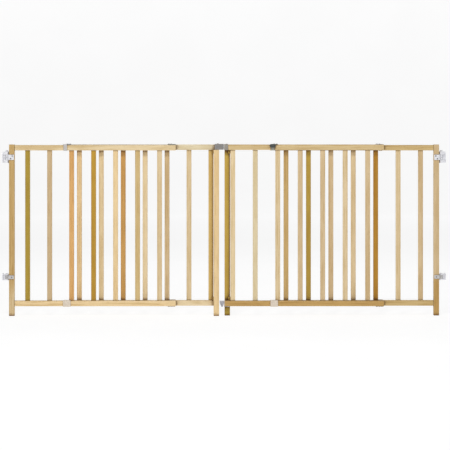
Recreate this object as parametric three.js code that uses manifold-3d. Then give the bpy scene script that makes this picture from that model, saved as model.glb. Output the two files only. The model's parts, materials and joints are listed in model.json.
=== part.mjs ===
// Telescoping double-leaf safety gate in hardwood, hung between two walls on pin hinges.
//
// Millimetres, +Z up, +X along the opening, -Y the front. The origin is on the floor, in the
// middle of the gate. Each leaf is two slatted panels that slide past each other in two
// parallel planes: an outer panel on the wall hinges and an inner panel whose rails end on the
// meeting stile, which stands in the outer panel's plane. The right leaf is the left one turned
// half round, so its outer panel is at the back where the left one's is at the front.

import * as THREE from 'three';
import { mergeVertices } from 'three/addons/utils/BufferGeometryUtils.js';
import Module from 'manifold-3d';

const wasm = await Module();
wasm.setup();

// ---- Driving dimensions ----------------------------------------------------------------

const WALL_FACE = 888; // from the middle to each wall
const HEIGHT = 686; // top of the posts and top rails
const POST_CENTRE = 850.5; // from the middle to each outer post
const PLANE = 12; // from the gate's middle plane to the middle of each panel
const DEPTH = 22; // front to back, of posts and rails
const POST_WIDTH = 22;
const RAIL_HEIGHT = 22;
const RAIL_BASE = 39; // underside of the bottom rails above the floor
const OUTER_DROP = 2; // top of an outer panel's top rail below its post's
const RAIL_OVERHANG = 65; // rail beyond the last slat's centre
const SLAT_WIDTH = 19.5;
const SLAT_DEPTH = 12;
const SLAT_COUNT = 7; // in each panel
const FIRST_SLAT = 63; // outer post to first slat, centre to centre
const STILE_STEP = 22; // meeting stile to the last inner slat, centre to centre
const GLUE_BLOCK = 14; // height of the two blocks that tie that slat to the stile
const TENON = 9; // slat end let into a rail
const EASE = 2; // radius of the wood's long edges
const END_EASE = 1.2; // chamfer on the ends that show
const GAP = 0.3; // between touching pieces

const LEAVES = [
  { side: 'left', pitch: 88, meeting: -32.1, turn: 0, latched: true },
  { side: 'right', pitch: 90, meeting: -11.6, turn: Math.PI, latched: false },
];

// Hinges, measured from the pin's axis
const PIN_REACH = 20.2; // outer post's centre to the pin
const PIN_RADIUS = 3.2;
const PIN_HEAD_RADIUS = 5;
const KNUCKLE_BORE = 3.6;
const KNUCKLE_RADIUS = 7;
const LUG_RADIUS = 8.5;
const PLATE_THICKNESS = 3.5;
const PLATE_WIDTH = 36;
const PLATE_CORNER = 4;
const STRAP_THICKNESS = 2;
const STRAP_LEG = 20; // along the post's front and back
const WALL_SCREW = { radius: 2.2, spread: 13.5 }; // spread: from the pin's plane to each hole
const TOP_HINGE = { span: [612, 658], plateTop: 654, strap: [624, 645], head: 5, holes: [620, 646] };
const BOTTOM_HINGE = { span: [143, 167], plateTop: 170, strap: [147.5, 162.5], head: 3, holes: [155] };

// Slide clips
const SHEET = 1.6; // thickness of the clips' metal
const CLIP = [2, 32]; // a clip's two ends, from its rail's free end
const TOP_HOOK = [4, 18]; // the part of a top clip that hooks over the other panel's rail
const LIP = 4.5; // turned in under the hooked rail, in front of its slats
const CLIP_SCREWS = [18, 28]; // from the rail's free end
const CLIP_SCREW_RADIUS = 2.4;
const PAD_WIDTH = 18; // of the pad under an outer top clip, front to back

// Lock knob, its wings longest along X
const KNOB = { height: 680.5, width: 23, tall: 15, thickness: 7, corner: 6.5, screw: 2.5 };

// Latch: a sliding bolt in a housing over the left stile, and a pocket in the right rail's end
const HOUSING = { x: [-39, -2.5], y: [-23, 0.7], z: [665, 688.5] };
const BOLT_SIZE = 9; // square
const BOLT_REACH = [-33, -4]; // along X, drawn back
const BOLT_TRAVEL = 14;
const CHANNEL_SIZE = 10;
const BOLT_HEIGHT = 677; // middle of the bolt
const POCKET_SIZE = 11;
const POCKET_DEPTH = 15;
const TAB = { x: [-29.5, -23.5], width: 4, top: 691 };
const STRIKE_WIDTH = 14;
const NOSE = { reach: 19, shoulder: 52, foot: 36.5, top: 60 }; // of the lower guide

const SEGMENTS = 24; // around a full circle

const mid = (span) => (span[0] + span[1]) / 2;
const around = (centre, width) => [centre - width / 2, centre + width / 2];
const halfPost = POST_WIDTH / 2;
const halfDepth = DEPTH / 2;
const INNER_TOP_RAIL = [HEIGHT - RAIL_HEIGHT, HEIGHT];
const OUTER_TOP_RAIL = INNER_TOP_RAIL.map((z) => z - OUTER_DROP);
const BOTTOM_RAIL = [RAIL_BASE, RAIL_BASE + RAIL_HEIGHT];

// ---- Materials --------------------------------------------------------------------------

const FINISH = {
  wood: { color: 0xdcb980, roughness: 0.5, metalness: 0 },
  zinc: { color: 0xc9ccd2, roughness: 0.35, metalness: 0.9 },
  steel: { color: 0x8d9096, roughness: 0.3, metalness: 1 },
  plastic: { color: 0x85878c, roughness: 0.55, metalness: 0 },
  knob: { color: 0x2d3238, roughness: 0.4, metalness: 0 },
};

// ---- Solids -----------------------------------------------------------------------------

// A closed geometry as a solid that can be joined and cut.
function solid(geometry) {
  const bare = geometry.clone();
  bare.deleteAttribute('normal');
  bare.deleteAttribute('uv');
  const welded = mergeVertices(bare, 1e-4);
  return new wasm.Manifold(new wasm.Mesh({
    numProp: 3,
    vertProperties: new Float32Array(welded.attributes.position.array),
    triVerts: new Uint32Array(welded.index.array),
  }));
}

function geometryOf(body) {
  const mesh = body.getMesh();
  const geometry = new THREE.BufferGeometry();
  geometry.setAttribute('position', new THREE.BufferAttribute(mesh.vertProperties, 3));
  geometry.setIndex(new THREE.BufferAttribute(mesh.triVerts, 1));
  geometry.computeVertexNormals();
  return geometry;
}

const join = (bodies) => bodies.reduce((sum, body) => sum.add(body));
const cut = (body, tools) => tools.reduce((rest, tool) => rest.subtract(tool), body);

function named(name, body, finish) {
  const mesh = new THREE.Mesh(geometryOf(body), new THREE.MeshStandardMaterial(FINISH[finish]));
  mesh.name = name;
  return mesh;
}

function block(x, y, z) {
  const box = new THREE.BoxGeometry(x[1] - x[0], y[1] - y[0], z[1] - z[0]);
  return solid(box.translate(mid(x), mid(y), mid(z)));
}

// An outline extruded between two heights, its two ends eased where bevel is not 0.
function prism(outline, from, to, bevel = 0) {
  const options = {
    depth: to - from - 2 * bevel,
    bevelEnabled: bevel > 0,
    bevelThickness: bevel,
    bevelSize: bevel,
    bevelOffset: -bevel,
    bevelSegments: 1,
  };
  return new THREE.ExtrudeGeometry(outline, options).translate(0, 0, from + bevel);
}

// A rectangle with rounded corners, each corner an arc of two chords.
function roundedRectangle(width, depth, radius) {
  const a = width / 2 - radius;
  const b = depth / 2 - radius;
  const points = [];
  [[a, b], [-a, b], [-a, -b], [a, -b]].forEach(([cx, cy], quarter) => {
    for (let step = 0; step <= 2; step += 1) {
      const angle = (quarter + step / 2) * Math.PI / 2;
      points.push(new THREE.Vector2(cx + radius * Math.cos(angle), cy + radius * Math.sin(angle)));
    }
  });
  return new THREE.Shape(points);
}

function polygon(points) {
  return new THREE.Shape(points.map(([x, y]) => new THREE.Vector2(x, y)));
}

// An upright bar with rounded long edges, between two heights.
function upright(x, y, z, bevel = 0) {
  const section = roundedRectangle(x[1] - x[0], y[1] - y[0], EASE);
  return solid(prism(section, z[0], z[1], bevel).translate(mid(x), mid(y), 0));
}

// A level bar along X with rounded long edges.
function level(x, y, z, bevel = 0, radius = EASE) {
  const section = roundedRectangle(z[1] - z[0], y[1] - y[0], radius);
  return solid(prism(section, x[0], x[1], bevel).rotateY(Math.PI / 2).translate(0, mid(y), mid(z)));
}

function disc(radius, z, x = 0, y = 0) {
  const round = new THREE.CylinderGeometry(radius, radius, z[1] - z[0], SEGMENTS);
  return solid(round.rotateX(Math.PI / 2).translate(x, y, mid(z)));
}

// ---- Slatted panels ---------------------------------------------------------------------

function mortise(x, y, rail) {
  const depth = TENON + GAP;
  const z = rail === BOTTOM_RAIL ? [rail[1] - depth, rail[1] + 1] : [rail[0] - 1, rail[0] + depth];
  return block(around(x, SLAT_WIDTH + 2 * GAP), around(y, SLAT_DEPTH + 2 * GAP), z);
}

function slat(x, y, topRail) {
  const z = [BOTTOM_RAIL[1] - TENON, topRail[0] + TENON];
  return upright(around(x, SLAT_WIDTH), around(y, SLAT_DEPTH), z);
}

function rails(prefix, y, topRail, reach, slats, topPockets = []) {
  const bar = (z) => cut(level(reach, around(y, DEPTH), z, END_EASE), slats.map((x) => mortise(x, y, z)));
  return [
    named(`${prefix}_top_rail`, cut(bar(topRail), topPockets), 'wood'),
    named(`${prefix}_bottom_rail`, bar(BOTTOM_RAIL), 'wood'),
  ];
}

// The outer panel: a full-height post on the hinges, two rails and seven slats.
function outerPanel({ side, pitch }) {
  const prefix = `${side}_outer`;
  const slats = Array.from({ length: SLAT_COUNT }, (_, i) => -POST_CENTRE + FIRST_SLAT + i * pitch);
  const end = slats[SLAT_COUNT - 1] + RAIL_OVERHANG;
  const reach = [-POST_CENTRE + halfPost + GAP, end];
  const post = upright(around(-POST_CENTRE, POST_WIDTH), around(-PLANE, DEPTH), [0, HEIGHT], END_EASE);
  const meshes = [
    named(`${prefix}_post`, post, 'wood'),
    ...rails(prefix, -PLANE, OUTER_TOP_RAIL, reach, slats),
    ...slats.map((x, i) => named(`${prefix}_slat_${i + 1}`, slat(x, -PLANE, OUTER_TOP_RAIL), 'wood')),
  ];
  return { end, meshes };
}

// The meeting stile stands in front of the rail ends, in the outer panel's plane, and the last
// inner slat is tied to it by two glue blocks. The latched stile ends under the latch housing.
function stile({ meeting, latched }, slatX) {
  const top = latched ? HOUSING.z[0] - GAP : HEIGHT;
  const y = [-PLANE - halfDepth, PLANE - halfDepth - GAP];
  const post = upright(around(meeting, POST_WIDTH), y, [0, top], END_EASE);
  const glued = [
    [INNER_TOP_RAIL[0] - GAP - GLUE_BLOCK, INNER_TOP_RAIL[0] - GAP],
    [BOTTOM_RAIL[1] + GAP, BOTTOM_RAIL[1] + GAP + GLUE_BLOCK],
  ].map((z) => block([slatX + 6, meeting - 4], [y[1] - 1, PLANE], z));
  return join([post, slat(slatX, PLANE, INNER_TOP_RAIL), ...glued]);
}

// The inner panel: the meeting stile with its slat, two rails and six more slats. Where the
// other leaf is the latched one, its top rail's end has the pocket for the bolt.
function innerPanel(leaf) {
  const prefix = `${leaf.side}_inner`;
  const last = leaf.meeting - STILE_STEP;
  const slats = Array.from({ length: SLAT_COUNT - 1 }, (_, i) => last - (i + 1) * leaf.pitch);
  const end = slats[SLAT_COUNT - 2] - RAIL_OVERHANG;
  const face = leaf.meeting + halfPost;
  const pocket = block(
    [face - POCKET_DEPTH, face + 1],
    around(PLANE, POCKET_SIZE),
    around(BOLT_HEIGHT, POCKET_SIZE),
  );
  const meshes = [
    named(`${prefix}_stile`, stile(leaf, last), 'wood'),
    ...rails(prefix, PLANE, INNER_TOP_RAIL, [end, face], [last, ...slats], leaf.latched ? [] : [pocket]),
    ...slats.map((x, i) => named(`${prefix}_slat_${i + 1}`, slat(x, PLANE, INNER_TOP_RAIL), 'wood')),
  ];
  return { end, meshes };
}

// ---- Hinges -----------------------------------------------------------------------------

const PIN_X = -POST_CENTRE - PIN_REACH;
const PIN_Y = -PLANE;
const FACE_REACH = PIN_REACH - halfPost; // pin to the post's outer face
const WALL_REACH = WALL_FACE + PIN_X; // pin to the wall

function screwHole(x, y, z) {
  const drill = new THREE.CylinderGeometry(WALL_SCREW.radius, WALL_SCREW.radius, x[1] - x[0] + 2, 12);
  return solid(drill.rotateZ(Math.PI / 2).translate(mid(x), y, z));
}

// Fixed to the wall: a screwed plate, a spine and two lugs that hold the pin.
function wallBracket({ span, plateTop, strap, head, holes }) {
  const [base, top] = span;
  const wall = [-WALL_REACH, -WALL_REACH + PLATE_THICKNESS];
  const plate = level(wall, around(0, PLATE_WIDTH), [base, plateTop], 0, PLATE_CORNER);
  const spine = block([wall[1] - 1, -KNUCKLE_RADIUS - 0.6], around(0, KNUCKLE_RADIUS), span);
  const lugs = [[base, strap[0] - 0.5], [strap[1] + 0.5, top]].flatMap((z) => [
    disc(LUG_RADIUS, z),
    block([wall[1] - 1, 0], around(0, 2 * LUG_RADIUS), z),
  ]);
  const pin = [disc(PIN_RADIUS, [base, top + 1]), disc(PIN_HEAD_RADIUS, [top - 1, top + head])];
  const screws = holes.flatMap((z) => [-1, 1].map((y) => screwHole(wall, y * WALL_SCREW.spread, z)));
  return cut(join([plate, spine, ...lugs, ...pin]), screws).translate([PIN_X, PIN_Y, 0]);
}

// Fixed to the post: a strap bent round three of its faces, with the knuckle on the fourth side.
function hingeStrap({ strap }) {
  const inner = halfDepth + GAP;
  const outer = inner + STRAP_THICKNESS;
  const web = FACE_REACH - GAP - STRAP_THICKNESS;
  const tips = FACE_REACH + STRAP_LEG;
  const outline = polygon([
    [web, -outer], [tips, -outer], [tips, -inner], [web + STRAP_THICKNESS, -inner],
    [web + STRAP_THICKNESS, inner], [tips, inner], [tips, outer], [web, outer],
  ]);
  const knuckle = disc(KNUCKLE_RADIUS, strap);
  const bore = disc(KNUCKLE_BORE, [strap[0] - 1, strap[1] + 1]);
  const band = solid(prism(outline, strap[0], strap[1]));
  return band.add(knuckle).subtract(bore).translate([PIN_X, PIN_Y, 0]);
}

function hinges({ side }) {
  return [['top', TOP_HINGE], ['bottom', BOTTOM_HINGE]].flatMap(([place, hinge]) => [
    named(`${side}_${place}_wall_bracket`, wallBracket(hinge), 'zinc'),
    named(`${side}_${place}_hinge_strap`, hingeStrap(hinge), 'zinc'),
  ]);
}

// ---- Slide clips ------------------------------------------------------------------------

const SIDE_FACE = PLANE + halfDepth + GAP; // inside of a clip's hook, from the middle plane
const ordered = (a, b) => [Math.min(a, b), Math.max(a, b)];

// A clip lies across both panels' rails, is screwed to its own panel's rail and hooks round the
// other's. own is -1 where its own rail is in front and 1 where it is at the back; inward is the
// way from the rail's free end, at x = end, into the panel; up is 1 on the top rails and -1 on
// the bottom ones; far is the side of the hooked rail that the lip closes.
function clip({ end, inward, own, up, far, hook }) {
  const along = ([from, to]) => ordered(end + inward * from, end + inward * to);
  const near = up > 0 ? HEIGHT : RAIL_BASE;
  const skin = ordered(near + up * GAP, near + up * (GAP + SHEET));
  const outside = -own * (SIDE_FACE + SHEET);
  const lip = ordered(far - up * GAP, far - up * (GAP + SHEET));
  const drop = ordered(near + up * (GAP + SHEET), far - up * (GAP + SHEET));
  return join([
    block(along(CLIP), ordered(own * (SIDE_FACE - GAP), outside), skin),
    block(along(hook), ordered(-own * SIDE_FACE, outside), drop),
    block(along(hook), ordered(-own * (SIDE_FACE - GAP - LIP), outside), lip),
  ]);
}

// Fills the step between an outer panel's lower top rail and its clip.
function clipPad(end, inward) {
  const x = ordered(end + inward * CLIP[0], end + inward * CLIP[1]);
  return block(x, around(-PLANE, PAD_WIDTH), [OUTER_TOP_RAIL[1] + GAP, HEIGHT + GAP + 1]);
}

function clipPair(prefix, end, inward, own) {
  const bore = [0, HEIGHT + 20];
  const screws = CLIP_SCREWS.map((at) => disc(CLIP_SCREW_RADIUS, bore, end + inward * at, own * PLANE));
  const hooked = own < 0 ? INNER_TOP_RAIL : OUTER_TOP_RAIL;
  const bare = clip({ end, inward, own, up: 1, far: hooked[0], hook: TOP_HOOK });
  const top = own < 0 ? cut(bare.add(clipPad(end, inward)), [lockHole(end)]) : bare;
  const bottom = clip({ end, inward, own, up: -1, far: BOTTOM_RAIL[1], hook: CLIP });
  return [
    named(`${prefix}_top_clip`, cut(top, screws), 'zinc'),
    named(`${prefix}_bottom_clip`, cut(bottom, screws), 'zinc'),
  ];
}

// ---- Lock knob: clamps the inner panel's top rail from the outer panel's top clip --------

const knobX = (end) => end - mid(TOP_HOOK);

// A geometry made along Z, turned to lie along Y and moved to a knob's axis.
function onKnobAxis(geometry, end, y) {
  return solid(geometry.rotateX(-Math.PI / 2).translate(knobX(end), y, KNOB.height));
}

function knobCylinder(inner, outer, length) {
  return new THREE.CylinderGeometry(outer, inner, length, SEGMENTS).rotateX(Math.PI / 2);
}

function lockKnob(end) {
  const back = SIDE_FACE + SHEET + GAP;
  const shankLength = SHEET + GAP + 3;
  const wings = prism(roundedRectangle(KNOB.width, KNOB.tall, KNOB.corner), 0, KNOB.thickness, 1.2);
  return join([
    onKnobAxis(wings, end, back + 1),
    onKnobAxis(knobCylinder(5.5, 5, 2.2), end, back + 1.1),
    onKnobAxis(knobCylinder(KNOB.screw, KNOB.screw, shankLength), end, SIDE_FACE + shankLength / 2),
  ]);
}

function lockHole(end) {
  return onKnobAxis(knobCylinder(KNOB.screw + GAP, KNOB.screw + GAP, 12), end, SIDE_FACE);
}

// ---- One leaf ---------------------------------------------------------------------------

function leaf(spec) {
  const outer = outerPanel(spec);
  const inner = innerPanel(spec);
  const group = new THREE.Group();
  group.add(
    ...outer.meshes,
    ...inner.meshes,
    ...hinges(spec),
    ...clipPair(`${spec.side}_outer`, outer.end, -1, -1),
    ...clipPair(`${spec.side}_inner`, inner.end, 1, 1),
    named(`${spec.side}_lock_knob`, lockKnob(outer.end), 'knob'),
  );
  group.rotation.z = spec.turn;
  return group;
}

// ---- Latch and lower guide, between the two stiles ---------------------------------------

const RAIL_FACE = -LEAVES[1].meeting - halfPost; // the ends of the right leaf's inner rails
const RAIL_FRONT = -PLANE - halfDepth; // their front

function latchHousing() {
  const { x, y, z } = HOUSING;
  const shell = prism(roundedRectangle(x[1] - x[0], y[1] - y[0], 3), z[0], z[1], 1.5);
  const channel = block(
    [x[0] + 3, x[1] + 1],
    around(-PLANE, CHANNEL_SIZE),
    around(BOLT_HEIGHT, CHANNEL_SIZE),
  );
  const run = [TAB.x[0] - 0.5, TAB.x[1] + BOLT_TRAVEL + 0.5];
  const slot = block(run, around(-PLANE, TAB.width + 1), [BOLT_HEIGHT, z[1] + 1]);
  return cut(solid(shell.translate(mid(x), mid(y), 0)), [channel, slot]);
}

// The sliding bolt, its tip bevelled, with a thumb tab that stands out of the housing's slot.
function latchBolt() {
  const [back, tip] = BOLT_REACH;
  const half = BOLT_SIZE / 2;
  const outline = polygon([[back, -half], [tip - 3, -half], [tip, -half + 2], [tip, half], [back, half]]);
  const bar = solid(prism(outline, BOLT_HEIGHT - half, BOLT_HEIGHT + half).translate(0, -PLANE, 0));
  const tab = block(TAB.x, around(-PLANE, TAB.width), [BOLT_HEIGHT, TAB.top]);
  return bar.add(tab);
}

// A folded cap on the end of the right leaf's top rail, with the hole that the bolt goes through.
function latchStrike() {
  const x = [RAIL_FACE - GAP - SHEET, RAIL_FACE + STRIKE_WIDTH];
  const y = [RAIL_FRONT - GAP - SHEET, RAIL_FRONT + DEPTH - GAP];
  const z = [INNER_TOP_RAIL[0], HEIGHT + GAP + SHEET];
  const side = block([x[0], x[0] + SHEET], y, z);
  const face = block(x, [y[0], y[0] + SHEET], z);
  const roof = block(x, y, [z[1] - SHEET, z[1]]);
  const hole = block(
    [x[0] - 1, x[0] + SHEET + 1],
    around(-PLANE, POCKET_SIZE),
    around(BOLT_HEIGHT, POCKET_SIZE),
  );
  return cut(join([side, face, roof]), [hole]);
}

// An angle plate under the end of the right leaf's bottom rail, with a wedge-shaped nose that
// fills the gap between the leaves.
function lowerGuide() {
  const plate = [RAIL_FACE - GAP - SHEET, RAIL_FACE - GAP];
  const y = [RAIL_FRONT + 1, RAIL_FRONT + DEPTH - 1];
  const foot = RAIL_BASE - GAP;
  const { reach, shoulder, foot: point, top } = NOSE;
  const outline = polygon([
    [plate[0] + 0.5, top], [plate[0] + 0.5, shoulder], [plate[0] - 5, point],
    [plate[0] - 11, point], [RAIL_FACE - reach, shoulder], [RAIL_FACE - reach, top],
  ]);
  const nose = prism(outline, -7, 7).rotateX(Math.PI / 2).translate(0, -PLANE, 0);
  return join([
    block(plate, y, [foot - SHEET, BOTTOM_RAIL[1] - 2]),
    block([plate[0], RAIL_FACE + 20], y, [foot - SHEET, foot]),
    solid(nose),
  ]);
}

// ---- The gate ---------------------------------------------------------------------------

const gate = new THREE.Group();
gate.add(
  ...LEAVES.map(leaf),
  named('latch_housing', latchHousing(), 'plastic'),
  named('latch_bolt', latchBolt(), 'steel'),
  named('latch_strike', latchStrike(), 'steel'),
  named('lower_guide', lowerGuide(), 'zinc'),
);

export default gate;
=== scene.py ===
# Looks for the double-leaf wooden safety gate: materials, small fasteners, studio and camera.
# Metres, +Z up, +X along the opening, -Y the front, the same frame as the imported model.

import json
import math
import random

import bpy
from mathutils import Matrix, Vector


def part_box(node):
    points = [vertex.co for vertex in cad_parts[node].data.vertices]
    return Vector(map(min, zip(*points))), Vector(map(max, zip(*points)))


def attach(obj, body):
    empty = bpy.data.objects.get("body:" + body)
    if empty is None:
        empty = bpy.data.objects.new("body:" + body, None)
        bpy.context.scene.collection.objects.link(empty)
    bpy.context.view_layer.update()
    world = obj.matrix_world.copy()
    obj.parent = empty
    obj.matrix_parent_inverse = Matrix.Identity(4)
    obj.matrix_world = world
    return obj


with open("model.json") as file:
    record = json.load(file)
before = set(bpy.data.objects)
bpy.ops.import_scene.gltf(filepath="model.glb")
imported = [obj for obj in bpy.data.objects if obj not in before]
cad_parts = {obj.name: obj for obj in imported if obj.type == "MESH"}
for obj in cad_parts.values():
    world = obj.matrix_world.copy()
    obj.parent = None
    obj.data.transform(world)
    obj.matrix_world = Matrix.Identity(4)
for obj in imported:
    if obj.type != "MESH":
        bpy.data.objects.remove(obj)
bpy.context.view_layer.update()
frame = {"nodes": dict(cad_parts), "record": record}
nodes = frame["nodes"]
slots = {part["node"]: part["material_slot"] for part in frame["record"]["subparts"]}
rng = random.Random(27)

# ---- Driving values ----------------------------------------------------------------------

EYE_HEIGHT = 0.70  # camera above the floor
EYE_DISTANCE = 8.0  # camera in front of the gate's middle plane
VIEW_WIDTH = 1.8045  # what the picture spans at the gate
VIEW_CENTRE = (0.0025, 0.363)  # x and z at the middle of the picture
SENSOR = 36.0  # mm

# How far the CAD nodes' edges are rounded
BEVEL_WOOD = 0.0006
BEVEL_METAL = 0.0003
BEVEL_PLASTIC = 0.0005

# The spacer pad under each outer top clip, coloured near black as painted shadow of the gap under the
# clip's web:
# heights, and half its width from the rail's middle
PAD_BASE = 0.6842
PAD_TOP = 0.6862
PAD_HALF = 0.0095

# Screw heads: radius and height. The flat ones pass the wall plates, which are 0.5 mm off.
FLAT_HEAD = 0.0004
HEADS = {
    "clip": (0.0036, 0.0016),
    "plate": (0.0038, FLAT_HEAD),
    "strap": (0.0030, FLAT_HEAD),
    "knuckle": (0.0020, FLAT_HEAD),
    "knob": (0.0036, 0.0014),
    "housing": (0.0027, 0.0010),
    "strike_face": (0.0026, 0.0010),
    "strike_top": (0.0030, 0.0012),
    "guide": (0.0034, 0.0014),
}
HEAD_PROFILE = ((1.00, 0.00), (1.00, 0.42), (0.93, 0.72), (0.66, 0.96), (0.54, 1.00), (0.15, 0.30))
HEAD_STEPS = 24  # points round a head
CROSS_RING = 4  # the ring of the profile where the cross recess starts
CROSS_DEPTH = 0.70  # of the head's height
SEAT = 0.0004  # how far a rib or a curved seat is let into what it stands on

# Screw places. An inset is from the end of what the screw holds, on the side named.
PIN_X = 0.8707
KNUCKLE_RADIUS = 0.007
PLATE_THICKNESS = 0.0035
PLATE_SPREAD = 0.0135  # either side of the pin
CLIP_SCREWS = (0.018, 0.028)  # back from the rail's free end
PLATE_SCREWS = {"top": (0.620, 0.646), "bottom": (0.155,)}  # heights
STRAP_SCREWS = {  # back from the strap's tip, and height
    "top": ((0.0065, 0.6400), (0.0130, 0.6290)),
    "bottom": ((0.0085, 0.1550),),
}
HOUSING_INSET = 0.0055
STRIKE_INSET = {"face": 0.0045, "top": 0.0050}
GUIDE_INSET = 0.0060
GUIDE_BASE = 0.0371
GUIDE_Y = -0.012

# Ribs: where along X, and length, width and height
KNOB_RIBS = (
    (-0.0088, 0.0065),
    (-0.0070, 0.0085),
    (-0.0052, 0.0085),
    (0.0052, 0.0085),
    (0.0070, 0.0085),
    (0.0088, 0.0065),
)  # from the knob's middle, and length
KNOB_RIB = (0.0009, 0.0006)
HOUSING_RIBS = 4
HOUSING_RIB_PITCH = 0.0032
HOUSING_RIB = (0.011, 0.0014, 0.0007)
HOUSING_MIDDLE = 0.0125  # above the housing's base
TAB_RIBS = (-0.0283, -0.0265, -0.0247)
TAB_RIB = (0.0036, 0.0009, 0.0005)
TAB_Y = -0.012
END_STEPS = 8  # round each end of a rib
SMOOTH_ANGLE = math.radians(38)  # corners sharper than this stay crisp

# Plate and plastic: two linear colours that each mottles between
ZINC = (0.92, 0.92, 0.95), (0.71, 0.71, 0.75)
NICKEL = (0.395, 0.36, 0.31), (0.26, 0.237, 0.20)
SCREW_STEEL = (0.16, 0.15, 0.14), (0.08, 0.075, 0.07)
LATCH_GREY = (0.232, 0.220, 0.208), (0.275, 0.258, 0.235)
CHARCOAL = (0.046, 0.052, 0.048), (0.070, 0.076, 0.064)
# The spacer pad's near black: painted shadow of the gap under the outer top clips' web
PAD_SHADOW_BLACK = (0.035, 0.033, 0.031, 1)
ZINC_METALLIC = 0.42  # zinc plate dulls to a pale, partly diffuse skin

# Folded sheet in copies of the zinc plate with painted light, by how its name ends: each copy is
# darker, paler or warmer as the sheet looks lit, shaded and reflecting its surroundings where it
# stands, and the outer top clips' dark is a painted reflection of dark surroundings
SHEET_ROUGHNESS = 0.36
PAINTED_ZINC_COPIES = {
    "outer_top_clip": ((0.42, 0.41, 0.34), (0.28, 0.27, 0.22)),
    "inner_top_clip": ((0.66, 0.64, 0.63), (0.47, 0.45, 0.43)),
    "bottom_clip": ((0.82, 0.72, 0.60), (0.64, 0.55, 0.44)),
    "bottom_hinge_strap": ((0.66, 0.64, 0.63), (0.47, 0.45, 0.43)),
    "lower_guide": ((0.47, 0.46, 0.49), (0.31, 0.30, 0.33)),
}

# Lacquered beech: each board's mean linear colour, and what multiplies it for the paler early
# wood and the darker, redder late wood
EARLY_WOOD = (1.065, 1.075, 1.10)
LATE_WOOD = (0.85, 0.785, 0.66)
TONES = {
    "bone": (0.850, 0.750, 0.520),
    "ivory": (0.834, 0.675, 0.414),
    "straw": (0.860, 0.650, 0.355),
    "cream": (0.760, 0.600, 0.360),
    "wheat": (0.700, 0.535, 0.280),
    "biscuit": (0.620, 0.460, 0.260),
    "sand": (0.705, 0.540, 0.318),
    "fawn": (0.665, 0.490, 0.225),
    "tan": (0.600, 0.410, 0.165),
    "maize": (0.700, 0.490, 0.160),
    "toffee": (0.560, 0.355, 0.120),
    "honey": (0.744, 0.425, 0.153),
    "amber": (0.660, 0.385, 0.120),
    "olive": (0.500, 0.340, 0.055),
    "moss": (0.590, 0.400, 0.072),
    "golden": (0.540, 0.315, 0.036),
    "umber": (0.435, 0.298, 0.038),
    "russet": (0.480, 0.240, 0.022),
}

# Which boards have which tone
BOARDS = {
    "bone": ["left_inner_top_rail", "right_inner_slat_1"],
    "ivory": ["left_inner_slat_3", "left_inner_slat_5", "left_outer_top_rail",
              "left_inner_bottom_rail", "right_inner_stile"],
    "straw": ["left_inner_stile", "left_inner_slat_6", "left_outer_slat_5", "left_outer_bottom_rail"],
    "cream": ["left_inner_slat_1", "left_outer_slat_7", "right_inner_slat_2",
              "right_inner_slat_5", "right_outer_slat_2", "right_outer_slat_4"],
    "wheat": ["right_inner_top_rail"],
    "biscuit": ["left_outer_slat_2"],
    "sand": ["left_inner_slat_2", "right_inner_slat_3", "right_inner_slat_4", "right_inner_slat_6",
             "right_outer_slat_5", "right_outer_slat_1", "right_outer_post"],
    "fawn": ["left_outer_slat_6", "right_outer_top_rail", "right_outer_bottom_rail"],
    "tan": ["left_outer_post", "right_outer_slat_7"],
    "toffee": ["right_inner_bottom_rail"],
    "honey": ["left_outer_slat_3"],
    "amber": ["left_inner_slat_4"],
    "olive": ["right_outer_slat_6"],
    "golden": ["left_outer_slat_4"],
    "umber": ["left_outer_slat_1"],
    "russet": ["right_outer_slat_3"],
}
TONE_OF = {node: tone for tone, boards in BOARDS.items() for node in boards}

# A meeting stile is a post and a slat side by side: the post's width, and the left board's tone
POST_WIDTH = 0.022
LEFT_BOARDS = {"left_inner_stile": "maize", "right_inner_stile": "moss"}

# A post that changes colour near its foot: height, half the length of the change, tone below
FEET = {
    "left_outer_post": (0.100, 0.060, "cream"),
    "right_outer_post": (0.152, 0.020, "toffee"),
    # The right inner stile's dark foot is partly its own tone and partly painted shadow of the bottom
    # rail in front of it
    "right_inner_stile": (0.050, 0.012, "umber"),
}

# Painted shade in the joints and inner corners, where shadow falls: how far it looks for a neighbour,
# and the openness where it is full and gone
JOINT_REACH = 0.019
JOINT_SHUT = 0.54
JOINT_OPEN = 0.87
JOINT_SHADE_COLOUR = (0.22, 0.12, 0.04, 1)

# Studio: a round paper cove and two softboxes, each (place, aim, size, watts)
COVE = {"radius": 13.0, "height": 3.6, "bend": 2.5}
COVE_STEPS = 96  # round it
BEND_STEPS = 12  # up its curve
PAPER = (0.21, 0.21, 0.212, 1), (0.23, 0.23, 0.232, 1)
PAPER_GLOW = 0.85
KEY_LIGHT = (-0.4, -3.8, 3.9), (0, 0, 0.35), (1.1, 0.9), 107
BACK_LIGHT = (0.0, 3.0, 3.4), (0, 0, 0.5), (3.0, 1.2), 34
SKY = (0.95, 0.97, 1.0, 1)
SKY_STRENGTH = 0.12

# ---- Node-tree helpers -------------------------------------------------------------------


def put(tree, kind, inputs=(), **properties):
    """Adds a node, sets its properties, and sets or links its inputs by name or number."""
    made = tree.nodes.new("ShaderNode" + kind)
    for key, value in properties.items():
        setattr(made, key, value)
    for key, value in dict(inputs).items():
        if isinstance(value, bpy.types.NodeSocket):
            tree.links.new(value, made.inputs[key])
        else:
            made.inputs[key].default_value = value
    return made


def mix(tree, factor, a, b, blend="MIX"):
    made = put(tree, "Mix", {0: factor, 6: a, 7: b}, data_type="RGBA", blend_type=blend)
    return made.outputs[2]


def calc(tree, operation, *values):
    return put(tree, "Math", dict(enumerate(values)), operation=operation).outputs[0]


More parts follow.
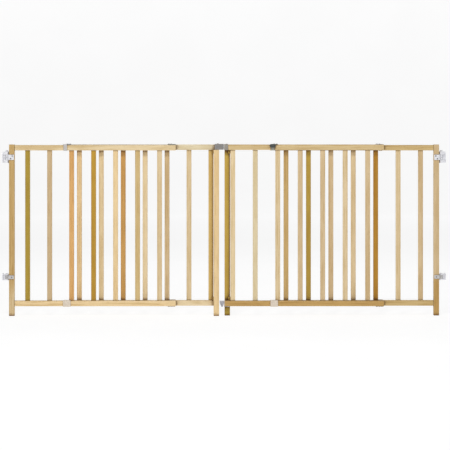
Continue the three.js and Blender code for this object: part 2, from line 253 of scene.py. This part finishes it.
def remap(tree, value, low, high, to_low=0.0, to_high=1.0):
    limits = {"Value": value, 1: low, 2: high, 3: to_low, 4: to_high}
    return put(tree, "MapRange", limits, interpolation_type="SMOOTHSTEP").outputs[0]


def position(tree):
    """The x, y and z of the point that is shaded, in the part's frame."""
    return put(tree, "SeparateXYZ", {0: put(tree, "TexCoord").outputs["Object"]}).outputs


def object_coords(tree, offset, scale):
    """Object coordinates, shifted and then scaled, so that each piece has its own pattern."""
    source = put(tree, "TexCoord").outputs["Object"]
    moved = put(tree, "VectorMath", {0: source, 1: offset}, operation="ADD").outputs[0]
    return put(tree, "VectorMath", {0: moved, 1: scale}, operation="MULTIPLY").outputs[0]


def noise(tree, vector, scale, detail=2.0, roughness=0.5):
    settings = {"Vector": vector, "Scale": scale, "Detail": detail, "Roughness": roughness}
    return put(tree, "TexNoise", settings).outputs["Fac"]


def edge_mask(tree):
    """1 where the surface turns an edge, 0 on faces square to the axes."""
    normal = put(tree, "TexCoord").outputs["Normal"]
    parts = put(tree, "SeparateXYZ", {0: normal}).outputs
    size = [calc(tree, "ABSOLUTE", part) for part in parts]
    pairs = [calc(tree, "MULTIPLY", size[i], size[(i + 1) % 3]) for i in range(3)]
    total = calc(tree, "ADD", calc(tree, "ADD", pairs[0], pairs[1]), pairs[2])
    return remap(tree, total, 0.12, 0.45)


def new_material(name):
    material = bpy.data.materials.new(name)
    material.use_nodes = True
    return material, material.node_tree, material.node_tree.nodes["Principled BSDF"]


def set_up(tree, shader, values):
    for key, value in values.items():
        if isinstance(value, bpy.types.NodeSocket):
            tree.links.new(value, shader.inputs[key])
        else:
            shader.inputs[key].default_value = value


def bump(tree, height, distance, strength=1.0):
    return put(tree, "Bump", {"Height": height, "Distance": distance, "Strength": strength}).outputs[0]


# ---- Materials ---------------------------------------------------------------------------


def crevice_shade(tree):
    """How deep the painted shade is: 1 deep in a joint or an inner corner, 0 on open faces."""
    open_sky = put(tree, "AmbientOcclusion", {"Distance": JOINT_REACH}, samples=6).outputs["AO"]
    return remap(tree, open_sky, JOINT_SHUT, JOINT_OPEN, 1.0, 0.0)


def heart_offset(node, grain):
    """Moves the tree's heart, at the origin of the rings, to beside the board, at random."""
    centre = centre_of(node)
    offset = [rng.uniform(-3, 3) for _ in range(3)]
    across = [axis for axis in range(3) if axis != grain]
    offset[across[0]] = rng.choice((-1, 1)) * rng.uniform(0.02, 0.09) - centre[across[0]]
    offset[across[1]] = rng.uniform(-0.05, 0.05) - centre[across[1]]
    return offset


def wood(name, tone, grain, beside=None):
    """Satin lacquered beech with its grain along axis grain (0 for X, 2 for Z).

    beside is (x, tone): left of x the wood is that other tone, for a board glued beside this one.
    """
    material, tree, shader = new_material(name)
    offset = heart_offset(name, grain)

    def stretched(along):
        return object_coords(tree, offset, [along if axis == grain else 1.0 for axis in range(3)])

    def board(tone):
        return mix(tree, shade, *early_and_late(TONES[tone]))

    rings = put(
        tree,
        "TexWave",
        {"Vector": stretched(0.10), "Scale": rng.uniform(45, 80), "Distortion": 9.0,
         "Detail": 3.0, "Detail Scale": 0.55, "Detail Roughness": 0.6},
        wave_type="RINGS",
        rings_direction="XYZ"[grain],
    ).outputs["Fac"]
    drift = noise(tree, stretched(0.15), 14.0, 3.0)
    fibres = noise(tree, stretched(0.018), 1500.0, 3.0, 0.6)
    streaks = noise(tree, stretched(0.012), 330.0, 2.0)
    flecks = remap(tree, noise(tree, stretched(0.09), 1100.0), 0.62, 0.72)

    fading = remap(tree, noise(tree, stretched(0.2), 55.0), 0.38, 0.62, 0.12, 0.50)
    faded = calc(tree, "MULTIPLY", rings, fading)
    shade = calc(tree, "ADD", faded, calc(tree, "MULTIPLY", streaks, 0.58))
    shade = calc(tree, "ADD", shade, calc(tree, "MULTIPLY", calc(tree, "SUBTRACT", drift, 0.5), 1.2))
    shade = remap(tree, shade, 0.15, 0.85)

    colour = board(tone)
    if beside:
        joint, left_tone = beside
        left = calc(tree, "LESS_THAN", position(tree)[0], joint)
        colour = mix(tree, left, colour, board(left_tone))
    if name in FEET:
        level, blend, foot_tone = FEET[name]
        feather = calc(tree, "MULTIPLY", calc(tree, "SUBTRACT", streaks, 0.5), blend)
        uneven = calc(tree, "ADD", position(tree)[2], feather)
        below = remap(tree, uneven, level - blend, level + blend, 1.0, 0.0)
        colour = mix(tree, below, colour, board(foot_tone))

    fibre_lines = remap(tree, fibres, 0.2, 0.8, 0.0, 0.18)
    colour = mix(tree, fibre_lines, colour, (0.42, 0.27, 0.12, 1), "MULTIPLY")
    colour = mix(tree, calc(tree, "MULTIPLY", flecks, 0.34), colour, (0.22, 0.11, 0.04, 1))
    normal = put(tree, "SeparateXYZ", {0: put(tree, "TexCoord").outputs["Normal"]}).outputs[grain]
    end_grain = remap(tree, calc(tree, "ABSOLUTE", normal), 0.75, 0.95, 0.0, 0.45)
    colour = mix(tree, end_grain, colour, (0.30, 0.18, 0.08, 1))
    colour = mix(tree, calc(tree, "MULTIPLY", edge_mask(tree), 0.12), colour, (0.80, 0.62, 0.36, 1))

    # Painted shade: the wood darkens in its joints and inner corners, where shadow falls
    joint_shade = calc(tree, "MULTIPLY", crevice_shade(tree), 0.96)
    colour = mix(tree, joint_shade, colour, JOINT_SHADE_COLOUR, "MULTIPLY")

    raised = calc(tree, "MULTIPLY", fibres, 0.7)
    height = calc(tree, "SUBTRACT", raised, calc(tree, "MULTIPLY", flecks, 0.8))
    set_up(tree, shader, {
        "Base Color": colour,
        "Roughness": remap(tree, fibres, 0.2, 0.8, 0.38, 0.52),
        "Specular IOR Level": 0.24,
        "Coat Weight": 0.07,
        "Coat Roughness": 0.30,
        "Normal": bump(tree, height, 0.00012, 0.6),
    })
    return material


def early_and_late(tone):
    """The early and late wood of a board of that mean colour."""
    early = [channel * factor for channel, factor in zip(tone, EARLY_WOOD)]
    late = [channel * factor for channel, factor in zip(tone, LATE_WOOD)]
    return (*early, 1), (*late, 1)


def plated_steel(name, colour, dark, roughness, pad=None):
    """Zinc or nickel plate on rolled sheet: faint crystals, rolling lines, dull patches, bright edges.

    pad is the y of the middle of the spacer pad under the sheet, for the clips that have one.
    The pad is painted near black as the shadow in the gap under the clip's web.
    """
    material, tree, shader = new_material(name)
    near = object_coords(tree, (0.3, 0.1, 0.2), (1, 1, 1))
    crystals = put(tree, "TexVoronoi", {"Vector": near, "Scale": 900.0}).outputs["Color"]
    crystals = put(tree, "SeparateColor", {0: crystals}).outputs[0]
    cloud = noise(tree, near, 120.0, 4.0, 0.6)
    lines = noise(tree, object_coords(tree, (0.3, 0.1, 0.2), (1, 1, 30)), 240.0, 2.0)
    faint = calc(tree, "MULTIPLY", crystals, 0.22)
    wear = calc(tree, "ADD", faint, calc(tree, "MULTIPLY", cloud, 0.78))
    tone = mix(tree, remap(tree, wear, 0.25, 0.75), (*colour, 1), (*dark, 1))
    tone = mix(tree, calc(tree, "MULTIPLY", edge_mask(tree), 0.35), tone, (0.82, 0.83, 0.85, 1))
    metal = ZINC_METALLIC
    # Painted shadow: the pad under the web is coloured near black and not metallic
    if pad is not None:
        _, y, z = position(tree)
        beside = calc(tree, "ABSOLUTE", calc(tree, "SUBTRACT", y, pad))
        below = calc(tree, "LESS_THAN", z, PAD_TOP)
        under = calc(tree, "MULTIPLY", below, calc(tree, "GREATER_THAN", z, PAD_BASE))
        pad_shadow = calc(tree, "MULTIPLY", under, calc(tree, "LESS_THAN", beside, PAD_HALF))
        tone = mix(tree, pad_shadow, tone, PAD_SHADOW_BLACK)
        metal = calc(tree, "MULTIPLY", calc(tree, "SUBTRACT", 1.0, pad_shadow), ZINC_METALLIC)
    set_up(tree, shader, {
        "Base Color": tone,
        "Metallic": metal,
        "Roughness": remap(tree, wear, 0.2, 0.8, roughness - 0.08, roughness + 0.10),
        "Normal": bump(tree, calc(tree, "ADD", lines, crystals), 0.00004, 0.5),
    })
    return material


def moulded_plastic(name, colour, light, roughness):
    """Fine-grained moulding with scuffed edges and a slight mottling."""
    material, tree, shader = new_material(name)
    near = object_coords(tree, (0.2, 0.4, 0.1), (1, 1, 1))
    grain = noise(tree, near, 1400.0, 2.0)
    mottle = noise(tree, near, 90.0, 3.0)
    tone = mix(tree, remap(tree, mottle, 0.35, 0.7), (*colour, 1), (*light, 1))
    rubbed = remap(tree, noise(tree, near, 300.0), 0.4, 0.7, 0.15, 0.6)
    scuff = calc(tree, "MULTIPLY", edge_mask(tree), rubbed)
    tone = mix(tree, scuff, tone, (*[min(1, 1.9 * c + 0.02) for c in colour], 1))
    set_up(tree, shader, {
        "Base Color": tone,
        "Roughness": remap(tree, mottle, 0.3, 0.7, roughness - 0.06, roughness + 0.08),
        "Specular IOR Level": 0.5,
        "Normal": bump(tree, grain, 0.00005, 0.6),
    })
    return material


def backdrop(name):
    """Plain pale studio paper."""
    material, tree, shader = new_material(name)
    near = object_coords(tree, (0, 0, 0), (1, 1, 1))
    paper = remap(tree, noise(tree, near, 2.0, 2.0), 0.3, 0.7)
    set_up(tree, shader, {
        "Base Color": mix(tree, paper, *PAPER),
        "Roughness": 0.9,
        "Specular IOR Level": 0.1,
        "Emission Color": (1.0, 1.0, 1.0, 1),
        "Emission Strength": PAPER_GLOW,
    })
    return material


def centre_of(node):
    low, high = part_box(node)
    return (low + high) / 2


# ---- Finishing the CAD nodes --------------------------------------------------------------


def dress(node, material, width):
    """Gives a CAD node its material, welds the mesh's split corners and rounds its edges."""
    piece = nodes[node]
    piece.data.materials.clear()
    piece.data.materials.append(material)
    piece.modifiers.new("weld", "WELD").merge_threshold = 0.00001
    bevel = piece.modifiers.new("ease", "BEVEL")
    bevel.width = width
    bevel.segments = 2
    bevel.limit_method = "ANGLE"
    bevel.angle_limit = math.radians(30)
    bevel.harden_normals = True


def two_boards(node):
    """Where the post and the slat of a meeting stile meet, along X, and the tone left of that."""
    if node not in LEFT_BOARDS:
        return None
    low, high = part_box(node)
    joint = high.x - POST_WIDTH if node.startswith("left") else low.x + POST_WIDTH
    return joint, LEFT_BOARDS[node]


def painted_zinc_tones(node):
    """The two colours of a folded sheet's copy of the zinc plate with painted light and shade, or
    None.
    """
    for ending, tones in PAINTED_ZINC_COPIES.items():
        if node.endswith(ending):
            return tones
    return None


zinc = plated_steel("zinc_plate", *ZINC, 0.34)
nickel = plated_steel("latch_steel", *NICKEL, 0.30)
dark_steel = plated_steel("screw_steel", *SCREW_STEEL, 0.38)
grey_plastic = moulded_plastic("latch_plastic", *LATCH_GREY, 0.50)
charcoal = moulded_plastic("knob_plastic", *CHARCOAL, 0.38)
METALS = {"zinc_plate": zinc, "latch_steel": nickel}
PLASTICS = {"latch_plastic": grey_plastic, "knob_plastic": charcoal}

for name, slot in slots.items():
    if slot.startswith("wood"):
        grain = 0 if "rail" in name else 2
        dress(name, wood(name, TONE_OF[name], grain, two_boards(name)), BEVEL_WOOD)
    # Sheet in a copy of the zinc plate, painted darker, paler or warmer for how it is lit where it
    # stands
    elif painted_zinc_tones(name):
        pad = centre_of(name).y if name.endswith("outer_top_clip") else None
        plate = plated_steel(name, *painted_zinc_tones(name), SHEET_ROUGHNESS, pad)
        dress(name, plate, BEVEL_METAL)
    elif slot in METALS:
        dress(name, METALS[slot], BEVEL_METAL)
    else:
        dress(name, PLASTICS[slot], BEVEL_PLASTIC)

# ---- Small fasteners and details, in mesh code ---------------------------------------------


class Moulding:
    """Points and faces of one small piece, added to shape by shape."""

    def __init__(self):
        self.points = []
        self.faces = []

    def stack(self, outlines, place, axis, across):
        """Adds a closed shape of outlines, [(height, [(u, v), ...]), ...], stacked along axis.

        u runs along across, and v square to both.
        """
        w = Vector(axis).normalized()
        u = Vector(across).normalized()
        v = w.cross(u)
        first = len(self.points)
        count = len(outlines[0][1])
        for height, outline in outlines:
            for a, b in outline:
                self.points.append(Vector(place) + u * a + v * b + w * height)
        for level in range(len(outlines) - 1):
            for i in range(count):
                j = (i + 1) % count
                low = first + level * count
                self.faces.append((low + i, low + j, low + count + j, low + count + i))
        self.faces.append(tuple(first + i for i in reversed(range(count))))
        top = first + (len(outlines) - 1) * count
        self.faces.append(tuple(top + i for i in range(count)))

    def cross_head(self, place, axis, kind):
        """Adds a pan-head screw with a cross recess, its underside at place, turned at random."""
        radius, height = HEADS[kind]
        turn = rng.uniform(0, math.pi / 2)
        outlines = []
        for reach, rise in HEAD_PROFILE:
            outline = []
            for step in range(HEAD_STEPS):
                angle = turn + math.tau * step / HEAD_STEPS
                outline.append((radius * reach * math.cos(angle), radius * reach * math.sin(angle)))
            outlines.append((height * rise, outline))
        across = (0, 0, 1) if abs(axis[2]) < 0.5 else (1, 0, 0)
        first = len(self.points)
        self.stack(outlines, place, axis, across)
        sink = Vector(axis).normalized() * height * CROSS_DEPTH
        rim = first + CROSS_RING * HEAD_STEPS
        quarter = HEAD_STEPS // 4
        for step in range(HEAD_STEPS):
            if step % quarter in (0, 1, quarter - 1):
                self.points[rim + step] -= sink

    def pill(self, place, axis, across, length, width, height):
        """Adds a low rounded bar with half-round ends."""

        def outline(shrink):
            radius = width / 2 - shrink
            half = (length - width) / 2
            points = []
            for end in (1, -1):
                for step in range(END_STEPS + 1):
                    angle = math.pi * (step / END_STEPS - 0.5) + (0 if end > 0 else math.pi)
                    points.append((end * half + radius * math.cos(angle), radius * math.sin(angle)))
            return points

        edge = min(width, height) * 0.35
        levels = [(-SEAT, outline(0)), (height - edge, outline(0))]
        levels += [(height - edge * 0.3, outline(edge * 0.3)), (height, outline(edge))]
        self.stack(levels, place, axis, across)

    def build(self, name, body, material):
        """Makes the piece, with smooth rounds and crisp corners, and lets it ride on the body."""
        mesh = bpy.data.meshes.new(name)
        mesh.from_pydata(self.points, [], self.faces)
        mesh.validate()
        mesh.shade_smooth()
        mesh.set_sharp_from_angle(angle=SMOOTH_ANGLE)
        piece = bpy.data.objects.new(name, mesh)
        bpy.context.scene.collection.objects.link(piece)
        mesh.materials.append(material)
        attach(piece, body)
        return piece


def clip_screws(side, panel, level):
    """Two screws through the top or bottom clip into its own rail, near the rail's free end."""
    clip = f"{side}_{panel}_{level}_clip"
    low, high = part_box(f"{side}_{panel}_{level}_rail")
    clip_low, clip_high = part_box(clip)
    up = 1 if level == "top" else -1
    face = clip_high.z if up > 0 else clip_low.z
    right_end = (side == "left") == (panel == "outer")
    end, inward = (high.x, -1) if right_end else (low.x, 1)
    made = Moulding()
    for back in CLIP_SCREWS:
        place = (end + inward * back, (low.y + high.y) / 2, face)
        made.cross_head(place, (0, 0, up), "clip")
    made.build(f"{clip}_screws", f"{side}_{panel}_panel", dark_steel)


def hinge_screws(side, level):
    """The screws of the wall plate, those of the strap's two legs, and the knuckle's set screw."""
    inward = 1 if side == "left" else -1
    low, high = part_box(f"{side}_{level}_wall_bracket")
    pin_y = (low.y + high.y) / 2
    plate = (low.x if inward > 0 else high.x) + inward * PLATE_THICKNESS
    made = Moulding()
    for z in PLATE_SCREWS[level]:
        for way in (-1, 1):
            made.cross_head((plate, pin_y + way * PLATE_SPREAD, z), (inward, 0, 0), "plate")
    made.build(f"{side}_{level}_plate_screws", f"{side}_wall_mount", zinc)

    low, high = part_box(f"{side}_{level}_hinge_strap")
    tip = high.x if inward > 0 else low.x
    made = Moulding()
    for back, z in STRAP_SCREWS[level]:
        for y, way in ((low.y, -1), (high.y, 1)):
            made.cross_head((tip - inward * back, y, z), (0, way, 0), "strap")
    for way in (-1, 1):
        place = (inward * -PIN_X, pin_y + way * (KNUCKLE_RADIUS - SEAT), (low.z + high.z) / 2)
        made.cross_head(place, (0, way, 0), "knuckle")
    made.build(f"{side}_{level}_strap_screws", f"{side}_outer_panel", dark_steel)


def knob_details(side):
    """Finger ribs on the two wings of the lock knob's face, and its screw."""
    low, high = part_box(f"{side}_lock_knob")
    way = 1 if side == "left" else -1
    face = high.y if way > 0 else low.y
    middle = (low + high) / 2
    made = Moulding()
    for offset, length in KNOB_RIBS:
        place = (middle.x + offset, face, middle.z)
        made.pill(place, (0, way, 0), (0, 0, 1), length, *KNOB_RIB)
    made.build(f"{side}_lock_knob_ribs", f"{side}_lock_knob", charcoal)
    screw = Moulding()
    screw.cross_head((middle.x, face - way * SEAT / 2, middle.z), (0, way, 0), "knob")
    screw.build(f"{side}_lock_knob_screw", f"{side}_lock_knob", charcoal)


def latch_details():
    """Grip ribs and two screws on the latch housing's front, and ribs on the bolt's thumb tab."""
    low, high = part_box("latch_housing")
    middle = low.z + HOUSING_MIDDLE
    ribs = Moulding()
    for step in range(HOUSING_RIBS):
        x = (low.x + high.x) / 2 + (step - (HOUSING_RIBS - 1) / 2) * HOUSING_RIB_PITCH
        ribs.pill((x, low.y, middle), (0, -1, 0), (0, 0, 1), *HOUSING_RIB)
    ribs.build("latch_housing_ribs", "left_inner_panel", grey_plastic)
    screws = Moulding()
    for x in (low.x + HOUSING_INSET, high.x - HOUSING_INSET):
        screws.cross_head((x, low.y, middle), (0, -1, 0), "housing")
    screws.build("latch_housing_screws", "left_inner_panel", dark_steel)
    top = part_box("latch_bolt")[1].z
    grip = Moulding()
    for x in TAB_RIBS:
        grip.pill((x, TAB_Y, top), (0, 0, 1), (0, 1, 0), *TAB_RIB)
    grip.build("latch_bolt_tab_ribs", "latch_bolt", nickel)


def strike_and_guide_screws():
    """The strike cap's screws, one in its front and one on top, and the lower guide's one."""
    low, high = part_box("latch_strike")
    middle = (low + high) / 2
    made = Moulding()
    made.cross_head((high.x - STRIKE_INSET["face"], low.y, middle.z), (0, -1, 0), "strike_face")
    made.cross_head((high.x - STRIKE_INSET["top"], middle.y, high.z), (0, 0, 1), "strike_top")
    made.build("latch_strike_screws", "right_inner_panel", dark_steel)
    low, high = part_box("lower_guide")
    foot = Moulding()
    foot.cross_head((high.x - GUIDE_INSET, GUIDE_Y, GUIDE_BASE), (0, 0, -1), "guide")
    foot.build("lower_guide_screw", "right_inner_panel", dark_steel)


for side in ("left", "right"):
    for level in ("top", "bottom"):
        hinge_screws(side, level)
        for panel in ("outer", "inner"):
            clip_screws(side, panel, level)
    knob_details(side)
latch_details()
strike_and_guide_screws()

# ---- Studio ---------------------------------------------------------------------------------


def add_object(name, data):
    made = bpy.data.objects.new(name, data)
    bpy.context.scene.collection.objects.link(made)
    return made


def cove(name, radius, height, bend):
    """A round floor that curves up into a low wall, behind the gate from every side."""
    profile = [(radius - bend, 0.0)]
    for step in range(1, BEND_STEPS + 1):
        angle = math.pi / 2 * step / BEND_STEPS
        profile.append((radius - bend + bend * math.sin(angle), bend - bend * math.cos(angle)))
    profile.append((radius, height))
    vertices = []
    for reach, z in profile:
        for step in range(COVE_STEPS):
            angle = math.tau * step / COVE_STEPS
            vertices.append((reach * math.cos(angle), reach * math.sin(angle), z))
    faces = [tuple(range(COVE_STEPS))]
    for ring in range(len(profile) - 1):
        for step in range(COVE_STEPS):
            beside = (step + 1) % COVE_STEPS
            low = ring * COVE_STEPS
            high = low + COVE_STEPS
            faces.append((low + beside, low + step, high + step, high + beside))
    mesh = bpy.data.meshes.new(name)
    mesh.from_pydata(vertices, [], faces)
    mesh.shade_smooth()
    piece = add_object(name, mesh)
    piece.data.materials.append(backdrop(name))
    return piece


def softbox(name, place, aim, size, power):
    light = bpy.data.lights.new(name, "AREA")
    light.shape = "RECTANGLE"
    light.size, light.size_y = size
    light.energy = power
    made = add_object(name, light)
    made.location = place
    made.rotation_euler = (Vector(aim) - Vector(place)).to_track_quat("-Z", "Y").to_euler()
    return made


def studio():
    cove("studio_floor", **COVE)
    softbox("key_light", *KEY_LIGHT)
    softbox("back_light", *BACK_LIGHT)
    world = bpy.data.worlds.new("studio_world")
    world.use_nodes = True
    sky = world.node_tree.nodes["Background"]
    sky.inputs["Color"].default_value = SKY
    sky.inputs["Strength"].default_value = SKY_STRENGTH
    bpy.context.scene.world = world
    bpy.context.scene.view_settings.view_transform = "Standard"


def camera():
    """A level camera, so that uprights stay upright, with just enough shift to centre the gate."""
    data = bpy.data.cameras.new("camera")
    data.sensor_width = SENSOR
    data.lens = SENSOR * EYE_DISTANCE / VIEW_WIDTH
    data.shift_y = (VIEW_CENTRE[1] - EYE_HEIGHT) / VIEW_WIDTH
    made = add_object("camera", data)
    made.location = (VIEW_CENTRE[0], -EYE_DISTANCE, EYE_HEIGHT)
    made.rotation_euler = (math.pi / 2, 0, 0)
    bpy.context.scene.camera = made


studio()
camera()
